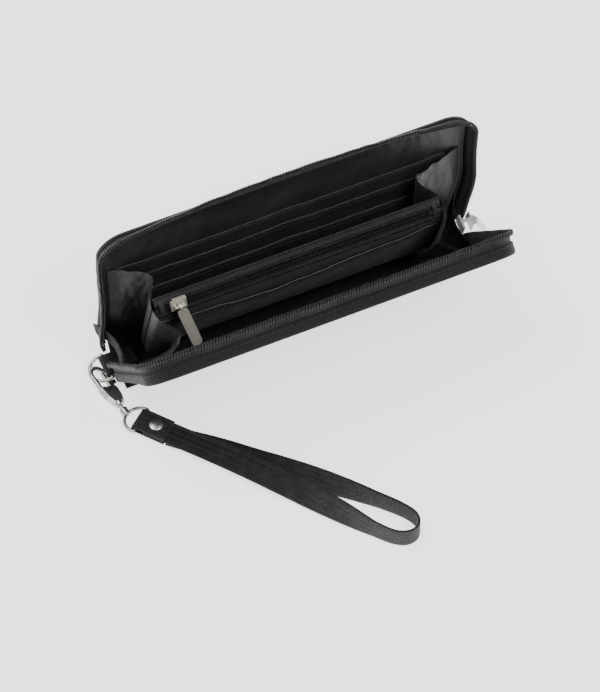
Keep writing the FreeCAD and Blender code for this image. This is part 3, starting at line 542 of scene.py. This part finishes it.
def zip_side(name, sign, place, side_flare, top_flare, seed, body):
    """Half of the main zip on one cover: its tape, coil and stitches."""
    path = outline(1.1, 5.0, 5.0, 1.2)
    widths = [0.0, 0.9, 1.8, 2.6, 3.6, 4.8, 6.0, 7.2, 7.8]
    grid, uvs, tips = [], [], []
    for px, pu, ox, ou, s in path:
        flare = float(flare_of(px, pu, side_flare, top_flare))
        ruffle = 5.0 * noise.noise(Vector((s / 11.0, seed * 2.0, 0.5))) \
            + 3.0 * noise.noise(Vector((s / 5.0, seed, 2.5)))
        a = math.radians(flare + ruffle)
        row = []
        for w in widths:
            bent = max(0.0, w - 1.8)
            turn = a * smooth(1.2, 2.8, w)
            n = bent * math.sin(turn)
            t = TAPE_ROOT - min(w, 1.8) - bent * math.cos(turn)
            row.append((px + ox * n, sign * t, pu + ou * n))
        row = np.array(row)
        grid.append(place(row[:, 0], row[:, 1], row[:, 2]))
        uvs.append([(s, w) for w in widths])
        outward = place(px + ox, sign * TAPE_ROOT, pu + ou) - place(px, sign * TAPE_ROOT, pu)
        tips.append((grid[-1][-1], grid[-1][-2] - grid[-1][-1], outward))
    grid = np.array(grid)
    tape = thick_sheet(f"{name}_tape_cloth", grid, 0.5, np.array(uvs, float), TAPE)
    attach(tape, body)
    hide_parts(f"{name}_zip_tape")
    tips_at = np.array([t[0] for t in tips])
    reach = np.concatenate([[0], np.cumsum(np.linalg.norm(np.diff(tips_at, axis=0), axis=1))])
    items, pitch = [], MAIN_PITCH * 1e-3
    for n in range(int(reach[-1] / pitch)):
        k = min(int(np.searchsorted(reach, n * pitch)), len(tips) - 2)
        tip, back, outward = tips[k]
        share = 0.0 if k == 0 else (n * pitch - reach[k - 1]) / (reach[k] - reach[k - 1])
        tip = tips[max(k - 1, 0)][0] * (1 - share) + tip * share
        run = unit(-back)
        along = unit(tips_at[k + 1] - tips_at[k])
        up = unit(np.cross(run, along))
        up = up if up @ outward > 0 else -up
        centre = tip - run * 1.1e-3 + up * 1.2e-3
        items.append((centre, run * 1.25e-3 + along * 0.25e-3, along * 0.56e-3, up * 0.82e-3))
    coil = beads(f"{name}_coil_teeth", items, TEETH)
    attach(coil, body)
    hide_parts(f"{name}_zip_coil")
    cord_line = grid[:, -3] * 0.6 + grid[:, -2] * 0.4
    lift = np.array([unit(t[2]) for t in tips])
    seam = stitching(f"{name}_tape_stitches", cord_line + lift * 0.3e-3, lift, 1.6, 0.5, 0.15)
    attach(seam, body)


def card_pockets():
    """Three stepped card panels on the rear lining, stitched down at the middle and the ends."""
    levels = (("upper", HEM_UPPER), ("middle", HEM_MIDDLE), ("lower", HEM_LOWER))
    for step, (level, hem) in enumerate(levels):
        x = np.linspace(-91.0, 87.0, 160)[None, :]
        u = (3.0 + (hem - 3.0) * np.linspace(0, 1, 46) ** 0.85)[:, None]
        x, u = np.broadcast_arrays(x, u)
        held = np.minimum(np.abs(x), 87.0 - np.abs(x + 2.0))
        loose = smooth(0, 14, held)
        sag = (0.55 + 0.35 * wave(x, u * 0.4, 20 + step, 24)) * loose * smooth(0.3, 1.0, u / hem)
        base = 9.2 - step * 0.75 - 0.35
        t = base - 0.6 * sag + 0.12 * wave(x, u, 30 + step, 7)
        t = np.minimum(t, base + 0.25)
        bead = 0.28 * np.exp(-((u - (hem - 0.5)) / 0.9) ** 2)
        dip = 0.22 * np.exp(-((u - (hem - 4.2)) / 0.7) ** 2)
        dropped = u - 0.55 * loose * smooth(hem - 12, hem, u)
        grid_out = rear_place(x, t - 0.3 - bead + dip, dropped)
        grid_in = rear_place(x, t + 0.3, dropped)
        panel = sheet_mesh(f"card_pocket_{level}", grid_out, grid_in, uv_of(x, u), POCKET)
        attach(panel, "back_cover")
        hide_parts(f"card_panel_{level}")
        for row, below in enumerate((1.4, 4.2)):
            index = int(np.argmin(np.abs(u[:, 0] - (hem - below))))
            line = grid_out[index] + np.array([0, -0.08e-3, 0])
            normals = np.tile([0, -1.0, 0.0], (line.shape[0], 1))
            seam = stitching(f"card_{level}_hem_stitches_{row}", line, normals, 2.0, 0.8, 0.15)
            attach(seam, "back_cover")
    u = np.linspace(4.0, 55.0, 60)
    t = np.where(u < HEM_LOWER, 7.15, np.where(u < HEM_MIDDLE, 7.9, 8.65)) - 0.05
    line = rear_place(np.zeros_like(u), t, u)
    seam = stitching("card_centre_stitches", line, np.tile([0, -1.0, 0], (60, 1)), 2.2, 0.8, 0.17)
    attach(seam, "back_cover")


# ---- spine ---------------------------------------------------------------------------------
def arc_sheet(name, radius, start, end, half, thickness, body, node, seed):
    """Outer fabric bent round the fold axis, from a start to an end angle in degrees."""
    angle = np.radians(np.linspace(start, end, 40))[:, None]
    x = np.linspace(-half, half, 90)[None, :]
    x, angle = np.broadcast_arrays(x, angle)
    uneven = 0.12 * wave(x, angle * radius, seed, 12)
    r = radius + uneven
    grid = np.stack([x, r * np.cos(angle), AXIS_Z + r * np.sin(angle)], axis=-1) * 1e-3
    skin = thick_sheet(name, grid, thickness, uv_of(x, angle * radius), OUTER)
    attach(skin, body)
    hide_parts(node)


def spine_foot():
    """The flat padded foot under the spine, with rounded long edges."""
    section = [(-13.4, 0.5), (-12.9, 0.05), (-11.5, 0.0), (-4.0, 0.0), (4.0, 0.0), (7.2, 0.0),
               (8.2, 0.1), (8.5, 0.6), (8.4, 1.5), (7.6, 2.2), (4.5, 1.5), (-4.5, 1.5),
               (-8.5, 2.3), (-12.4, 2.3), (-13.3, 1.7)]
    xs = np.concatenate([[-94, -93.6], np.linspace(-92.5, 92.5, 60), [93.6, 94]])
    rings, uvs = [], []
    for x in xs:
        pull = 0.8 if abs(x) > 93.8 else 1.0
        rings.append([np.array([x, -2.5 + (y + 2.5) * (0.97 + 0.03 * pull),
                                max(z * pull, 0.0)]) * 1e-3 for y, z in section])
        uvs.append([(x, y + z) for y, z in section])
    foot = tube_sweep("spine_foot_pad", rings, uvs, OUTER)
    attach(foot, "back_cover")


# ---- gussets -------------------------------------------------------------------------------
def curve_through(rows, count):
    """A smooth curve through a few points, as many points as asked."""
    rows = np.asarray(rows, float)
    reach = np.concatenate([[0], np.cumsum(np.linalg.norm(np.diff(rows, axis=0), axis=1))])
    slope = np.gradient(rows, reach, axis=0) * 0.8
    at = np.linspace(0, reach[-1], count)
    k = np.clip(np.searchsorted(reach, at, side="right") - 1, 0, len(rows) - 2)
    h = (reach[k + 1] - reach[k])[:, None]
    s = ((at - reach[k])[:, None]) / h
    return (2 * s**3 - 3 * s**2 + 1) * rows[k] + (s**3 - 2 * s**2 + s) * h * slope[k] \
        + (3 * s**2 - 2 * s**3) * rows[k + 1] + (s**3 - s**2) * h * slope[k + 1]


GUSSET_FOOT, GUSSET_TOP = 4.5, 57.0


def gusset(name, side, lines, seed):
    """Half of a gusseted end, from a cover's seam round its inner fold to the divider's end."""
    heights = np.linspace(GUSSET_FOOT, GUSSET_TOP, 36)
    grid, uvs = [], []
    for u in heights:
        rows = [rear_place(side * x, t, u) if lean == REAR else tilted(side * x, t, u, lean)
                for x, t, lean in lines]
        line = curve_through(rows, 44)
        share = (u - GUSSET_FOOT) / (GUSSET_TOP - GUSSET_FOOT)
        span = np.linspace(0, 1, 44)
        crumple = np.array([noise.noise(Vector((s * 5.0, u / 13.0, seed * 4.0)))
                            + 0.45 * noise.noise(Vector((s * 16.0, u / 5.0, seed)))
                            for s in span]) * 1.7e-3 * np.sin(span * math.pi) * (0.4 + share)
        line = line + np.outer(crumple, [0.2 * side, 1.0, 0.2])
        grid.append(line)
        uvs.append([(s * 30, u) for s in span])
    piece = thick_sheet(name + "_cloth", np.array(grid), 0.4, np.array(uvs, float), LINING)
    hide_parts(name)
    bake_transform(piece)


def end_web(side_name, side):
    """The main zip's tail: a folded fan of tape that closes the end between the covers' feet."""
    share = np.linspace(0, 1, 26)[:, None]
    k = np.linspace(0, 1, 16)[None, :]
    lean = REAR + 1.0 + (FRONT - REAR - 2.0) * share
    u = -3.0 + (21.0 - 2.0 * np.sin(math.pi * share)) * k
    fold = 6.0 * np.sin(math.pi * share) * (0.35 + 0.65 * k)
    x = side * (half_width(u, 1.6) - fold + 2.5 * (1 - share) * k)
    t = 10.7 * (1 - 2 * share)
    a = np.radians(lean)
    x, t, u, a = np.broadcast_arrays(x, t, u, a)
    grid = np.stack([x, t * np.cos(a) - u * np.sin(a), AXIS_Z + t * np.sin(a) + u * np.cos(a)],
                    axis=-1) * 1e-3
    uv = uv_of(*np.broadcast_arrays(u, share * 16))
    web = thick_sheet(f"{side_name}_zip_tail", grid, 0.5, uv, TAPE)
    tilted(side * 95, 7.4, 10, REAR)
    tilted(side * 95, -7.4, 10, FRONT)
    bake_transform(web)


def gussets():
    """Both ends: a zip tail and the two halves of each gusset."""
    rear_mid, front_mid = (REAR + MIDDLE) / 2, (FRONT + MIDDLE) / 2
    for side_name, side in (("left", -1), ("right", 1)):
        end_web(side_name, side)
        rear_seam = tilted(side * 90, 9.4, 35, REAR)
        front_seam = tilted(side * 90, -9.4, 35, FRONT)
        middle = tilted(side * 90, 0.0, 35, MIDDLE)
        gusset(f"{side_name}_gusset_rear", side,
               [(95.5, 9.3, REAR), (90.0, 6.7, REAR), (72.6, 5.6, rear_mid),
                (78.9, 3.7, MIDDLE), (79.6, -0.6, MIDDLE)], 1 + side)
        gusset(f"{side_name}_gusset_front", side,
               [(95.5, -9.3, FRONT), (90.0, -8.1, FRONT), (70.2, -7.2, front_mid),
                (78.9, -6.0, MIDDLE), (79.6, -1.6, MIDDLE)], 5 + side)


# ---- divider -------------------------------------------------------------------------------
BAND_LOW, BAND_HIGH = np.array([-4.6, 49.7]), np.array([2.4, 60.2])
BAND_UP = (BAND_HIGH - BAND_LOW) / np.linalg.norm(BAND_HIGH - BAND_LOW)
BAND_OUT = np.array([-BAND_UP[1], BAND_UP[0]])
BAND_MID = (BAND_LOW + BAND_HIGH) / 2


def band_point(x, up, out):
    """A point over the divider's sloping zip, from the middle of its slope."""
    x, up, out = np.broadcast_arrays(np.asarray(x, float), np.asarray(up, float),
                                     np.asarray(out, float))
    return tilted(x, BAND_MID[0] + BAND_UP[0] * up + BAND_OUT[0] * out,
                  BAND_MID[1] + BAND_UP[1] * up + BAND_OUT[1] * out, MIDDLE)


def ride_divider(piece, slot, *nodes):
    """Fix a piece to the divider."""
    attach(piece, "divider")
    if nodes:
        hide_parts(*nodes)


def divider():
    """The zipped compartment: two walls, the slip pocket and the inner zip."""
    x = np.linspace(-INNER, INNER, 130)[None, :]
    k = np.linspace(0, 1, 50)[:, None]
    u = DIVIDER_FOOT + (DIVIDER_TOP - DIVIDER_FOOT) * k
    xx, uu = np.broadcast_arrays(x, u)
    t = 2.7 + 0.3 * wave(xx, uu, 40, 20) * smooth(0, 10, uu - DIVIDER_FOOT) \
        * smooth(0, 10, DIVIDER_TOP - uu)
    rear = thick_sheet("divider_rear_cloth", tilted(xx, t, uu, MIDDLE), 0.5, uv_of(xx, uu), LINING)
    ride_divider(rear, "lining_fabric", "divider_rear_wall")
    u = DIVIDER_FOOT + (FRONT_WALL_TOP - DIVIDER_FOOT) * k
    xx, uu = np.broadcast_arrays(x, u)
    t = np.where(uu < 8, -4.3 + (8 - uu) / 17.4 * 5.3, -4.3) \
        + 0.15 * wave(xx, uu, 41, 20) * smooth(9, 18, uu) * smooth(0, 6, FRONT_WALL_TOP - uu)
    wall = thick_sheet("divider_front_cloth", tilted(xx, t, uu, MIDDLE), 0.5, uv_of(xx, uu), LINING)
    ride_divider(wall, "lining_fabric", "divider_front_wall")

    x = np.linspace(-SLIP_HALF, SLIP_HALF, 150)[None, :]
    u = (9.0 + 35.0 * np.linspace(0, 1, 50) ** 0.85)[:, None]
    xx, uu = np.broadcast_arrays(x, u)
    free = smooth(0, 20, SLIP_HALF - np.abs(xx)) * smooth(14, 44, uu)
    sag = 2.7 * np.exp(-((xx + 15) / 34) ** 2) + 1.2 * np.exp(-((xx - 38) / 22) ** 2) \
        + 0.5 + 0.5 * wave(xx, uu * 0.5, 44, 17)
    t = -5.0 - sag * free - 0.1 * wave(xx, uu, 45, 8) * smooth(12, 20, uu)
    t = np.minimum(t, -4.98)
    bead = 0.3 * np.exp(-((uu - 43.4) / 0.9) ** 2)
    dip = 0.2 * np.exp(-((uu - 39.0) / 0.8) ** 2)
    drop = uu - 1.6 * np.exp(-((xx + 15) / 40) ** 2) * smooth(30, 44, uu)
    front, back = tilted(xx, t - 0.3 - bead + dip, drop, MIDDLE), tilted(xx, t + 0.3, drop, MIDDLE)
    slip = sheet_mesh("slip_pocket_cloth", front, back, uv_of(xx, uu), SLIP)
    ride_divider(slip, "lining_fabric", "divider_slip_pocket")
    out = tilted(0, -1, 0, MIDDLE) - tilted(0, 0, 0, MIDDLE)
    for n, level in enumerate((42.6, 39.0)):
        index = int(np.argmin(np.abs(uu[:, 0] - level)))
        seam = stitching(f"slip_hem_stitches_{n}", front[index] + unit(out) * 0.1e-3,
                         np.tile(unit(out), (150, 1)), 2.0, 0.8, 0.15)
        ride_divider(seam, "lining_fabric")

    normal = unit(band_point(0, 0, 1) - band_point(0, 0, 0))
    for name, sign in (("rear", 1), ("front", -1)):
        x = np.linspace(-INNER, INNER, 120)[None, :]
        up = sign * np.linspace(0.5, 6.25, 9)[:, None]
        xx, uu = np.broadcast_arrays(x, up)
        rise = -0.25 + 0.18 * wave(xx, uu, 50 + sign, 16) * smooth(0.5, 3.0, np.abs(uu))
        grid = band_point(xx, uu, rise)
        tape = thick_sheet(f"inner_tape_{name}_cloth", grid, 0.45, uv_of(xx, uu), TAPE)
        ride_divider(tape, "zip_tape", f"inner_zip_tape_{name}")
        seam = stitching(f"inner_tape_{name}_stitches", grid[7] + normal * 0.3e-3,
                         np.tile(normal, (120, 1)), 2.0, 0.8, 0.15)
        ride_divider(seam, "zip_tape")
        items = []
        for n in range(int(2 * INNER_COIL_HALF / INNER_PITCH)):
            centre = band_point(-INNER_COIL_HALF + 0.6 + n * INNER_PITCH, sign * 1.25, 0.75)
            along = np.array([1.0, 0, 0])
            run = unit(band_point(0, 1, 0) - band_point(0, 0, 0))
            items.append((centre, run * 0.8e-3 + along * 0.15e-3, along * 0.48e-3,
                          normal * 0.66e-3))
        coil = beads(f"inner_coil_{name}_teeth", items, TEETH)
        ride_divider(coil, "zip_coil", f"inner_zip_coil_{name}")


# ---- webbing: the tab and the wrist strap --------------------------------------------------
def band_mesh(name, line, wide, thick, material, start=0.0, width=WEB_W, thickness=WEB_T):
    """Flat webbing along a line; wide and thick are its unit directions at each point."""
    across = [(-0.5, 0.0), (-0.488, 0.36), (-0.44, 0.5), (-0.25, 0.5), (0.0, 0.5), (0.25, 0.5),
              (0.44, 0.5), (0.488, 0.36), (0.5, 0.0), (0.488, -0.36), (0.44, -0.5),
              (0.25, -0.5), (0.0, -0.5), (-0.25, -0.5), (-0.44, -0.5), (-0.488, -0.36)]
    rings, uvs, s = [], [], start
    for n, (spot, w, t) in enumerate(zip(line, wide, thick)):
        s += float(np.linalg.norm(spot - line[n - 1])) * 1e3 if n else 0.0
        rings.append([spot + w * a * width * 1e-3 + t * b * thickness * 1e-3 for a, b in across])
        uvs.append([(20 + a * width, s) for a, b in across])
    return tube_sweep(name, rings, uvs, material)


def folded_webbing(name, bar, heading, length, bore, body, node):
    """Webbing doubled back round a bar; heading is its direction away from the bar."""
    r = bore + WEB_T / 2
    flat = [(s, -r) for s in np.linspace(length, 0.0, 14)]
    flat += [(-r * math.sin(a), -r * math.cos(a)) for a in np.linspace(0.2, math.pi - 0.2, 14)]
    flat += [(s, r) for s in np.linspace(0.0, length, 14)]
    bar, heading = np.asarray(bar) * 1e-3, np.asarray(heading, float)
    side = np.cross([0, 0, 1.0], heading)
    line = [bar + heading * s * 1e-3 + np.array([0, 0, z]) * 1e-3 for s, z in flat]
    tangents = np.gradient(np.array(line), axis=0)
    thick = [unit(np.cross(t, side)) for t in tangents]
    piece = band_mesh(name, line, [side] * len(line), thick, WEBBING)
    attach(piece, body)
    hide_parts(node)
    return piece


BAR = np.array([-95.9, -36.4, 3.9])
HEADING = math.radians(51.7)
ALONG = np.array([math.cos(HEADING), -math.sin(HEADING), 0.0])
ACROSS = np.array([math.sin(HEADING), math.cos(HEADING), 0.0])

# distance from the ring along the strap, offset across it, height and roll in degrees
ROUTE = [
    (4.5, 0.0, 3.9, 0), (18.0, 0.1, 3.9, 0), (33.0, 0.5, 3.75, 0), (50.5, 0.8, 3.9, 7),
    (69.5, 0.3, 4.5, 15), (92.0, -1.0, 5.4, 30), (116.0, -3.0, 6.4, 60), (134.0, -4.6, 6.8, 86),
    (145.5, -4.6, 6.9, 90), (152.2, -1.2, 6.9, 90), (154.4, 4.6, 6.9, 90), (151.2, 10.0, 6.9, 90),
    (143.0, 12.0, 6.9, 90), (128.0, 11.6, 6.8, 86), (108.0, 10.3, 6.3, 68),
    (86.0, 8.0, 4.8, 38), (63.0, 6.4, 2.5, 14), (40.0, 4.6, 1.35, 3), (27.0, 1.8, 1.5, 0),
    (16.3, 0.0, 2.15, 0)]


def strap_place(s, p, z):
    """A point of the strap, from its distance along, offset across and height."""
    flat = np.array([BAR[0], BAR[1], 0.0]) + ALONG * s + ACROSS * p
    return (flat + np.array([0, 0, z])) * 1e-3


def wrist_strap():
    """The strap's loop, as a flat band along its route, and its riveted end."""
    data = bpy.data.curves.new("strap_route", "CURVE")
    data.dimensions = "3D"
    spline = data.splines.new("NURBS")
    spline.points.add(len(ROUTE) - 1)
    for point, (s, p, z, _) in zip(spline.points, ROUTE):
        point.co = (*strap_place(s, p, z), 1.0)
    spline.order_u = 3
    spline.use_endpoint_u = True
    spline.resolution_u = 8
    guide = bpy.data.objects.new("strap_route", data)
    bpy.context.collection.objects.link(guide)
    bpy.context.view_layer.update()
    mesh = bpy.data.meshes.new_from_object(guide)
    line = np.array([v.co for v in mesh.vertices])
    bpy.data.objects.remove(guide)
    controls = np.array([strap_place(*row[:3]) for row in ROUTE])
    far = int(np.argmax([row[0] for row in ROUTE]))
    rolls = [row[3] if n <= far else 180 - row[3] for n, row in enumerate(ROUTE)]
    legs = np.concatenate([[0], np.cumsum(np.linalg.norm(np.diff(controls, axis=0), axis=1))])
    reach = np.concatenate([[0], np.cumsum(np.linalg.norm(np.diff(line, axis=0), axis=1))])
    roll = np.radians(np.interp(reach / reach[-1] * legs[-1], legs, rolls))
    tangents = np.gradient(line, axis=0)
    wide, thick = [], []
    for n, tangent in enumerate(tangents):
        side = unit(np.cross([0, 0, 1.0], tangent))
        up = unit(np.cross(tangent, side))
        wide.append(side * math.cos(roll[n]) + up * math.sin(roll[n]))
        thick.append(up * math.cos(roll[n]) - side * math.sin(roll[n]))
    strap = band_mesh("wrist_strap_webbing", line, wide, thick, WEBBING)
    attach(strap, "strap")
    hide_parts("wrist_strap")
    wrap = folded_webbing("strap_end_webbing", BAR, ALONG, STITCHED, BAR_BORE, "strap",
                          "strap_end_wrap")


# ---- put it together -----------------------------------------------------------------------
wrist_strap()
folded_webbing("tab_strip", TAB_BAR, (1, 0, 0), TAB_LEN, BAR_BORE, "back_cover",
               "tab_webbing")
cover("rear", 1, rear_place, 66.0, 3.0)
cover("front", -1, front_place, 22.0, 8.0)
card_pockets()
arc_sheet("spine_cloth", 11.7, 226.6, 354.4, SPINE_HALF, 0.9, "back_cover", "spine_panel", 60)
arc_sheet("front_flap_cloth", 10.7, 214.0, 276.0, 92.0, 0.7, "front_cover", "front_spine_flap", 61)
spine_foot()
gussets()
divider()


def recoat(material, *nodes):
    """Give CAD nodes that stay in view their material."""
    for node in nodes:
        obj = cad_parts[node]
        for slot in obj.material_slots:
            slot.material = material


def rounded(node, body, material, width):
    """A cast metal piece: the CAD piece's own shape with its edges rounded over."""
    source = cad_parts[node]
    mesh = source.data.copy()
    bm = bmesh.new()
    bm.from_mesh(mesh)
    bmesh.ops.remove_doubles(bm, verts=bm.verts, dist=1e-6)
    bmesh.ops.dissolve_limit(bm, angle_limit=math.radians(2.0), verts=bm.verts, edges=bm.edges)
    sharp = [edge for edge in bm.edges
             if len(edge.link_faces) == 2 and edge.calc_face_angle() > math.radians(40)]
    bmesh.ops.bevel(bm, geom=sharp, offset=width * 1e-3, segments=3, profile=0.5,
                    affect="EDGES", clamp_overlap=True)
    bm.to_mesh(mesh)
    bm.free()
    obj = bpy.data.objects.new(node + "_rounded", mesh)
    obj.matrix_world = source.matrix_world.copy()
    bpy.context.collection.objects.link(obj)
    mesh.materials.clear()
    mesh.materials.append(material)
    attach(obj, body)
    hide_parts(node)


rounded("inner_slider_body", "inner_slider", SATIN, 0.5)
rounded("inner_pull_tab", "inner_pull", SATIN, 0.3)
rounded("main_slider_body", "main_slider", BRUSHED, 0.5)
rounded("main_pull_tab", "main_pull", BRUSHED, 0.3)
rounded("clasp_lever", "clasp_gate", BRIGHT, 0.3)
recoat(BRIGHT, "clasp_body", "tab_d_ring", "clasp_lever_pin", "strap_swivel_ring",
       "inner_zip_stops")
recoat(BRUSHED, "rivet_cap", "rivet_base")


# ---- floor and light -----------------------------------------------------------------------
def floor():
    """The pale paper sheet under the object."""
    size = 3.0
    points = [(-size, -size, 0), (size, -size, 0), (size, size, 0), (-size, size, 0)]
    obj = mesh_object("floor", points, [(0, 1, 2, 3)], [(0, 0)] * 4, None)
    n = Nodes("floor_paper")
    n.shader.inputs["Base Color"].default_value = (0.93, 0.93, 0.93, 1)
    n.shader.inputs["Roughness"].default_value = 0.9
    n.shader.inputs["Specular IOR Level"].default_value = 0.1
    n.shader.inputs["Emission Color"].default_value = (1, 1, 1, 1)
    n.shader.inputs["Emission Strength"].default_value = 1.6
    obj.data.materials.clear()
    obj.data.materials.append(n.material)


floor()
world = bpy.data.worlds.new("studio")
world.use_nodes = True
world.node_tree.nodes["Background"].inputs["Color"].default_value = (1, 1, 1, 1)
world.node_tree.nodes["Background"].inputs["Strength"].default_value = 0.45
bpy.context.scene.world = world
lamp("key", (-0.5, 0.35, 1.3), (0, 0, 0), 0.9, 9.0)
lamp("fill", (0.35, -0.75, 1.35), (0, 0, 0), 0.7, 11.0)
lamp("low", (-1.1, -0.9, 0.35), (0, 0, 0.03), 0.7, 3.0)
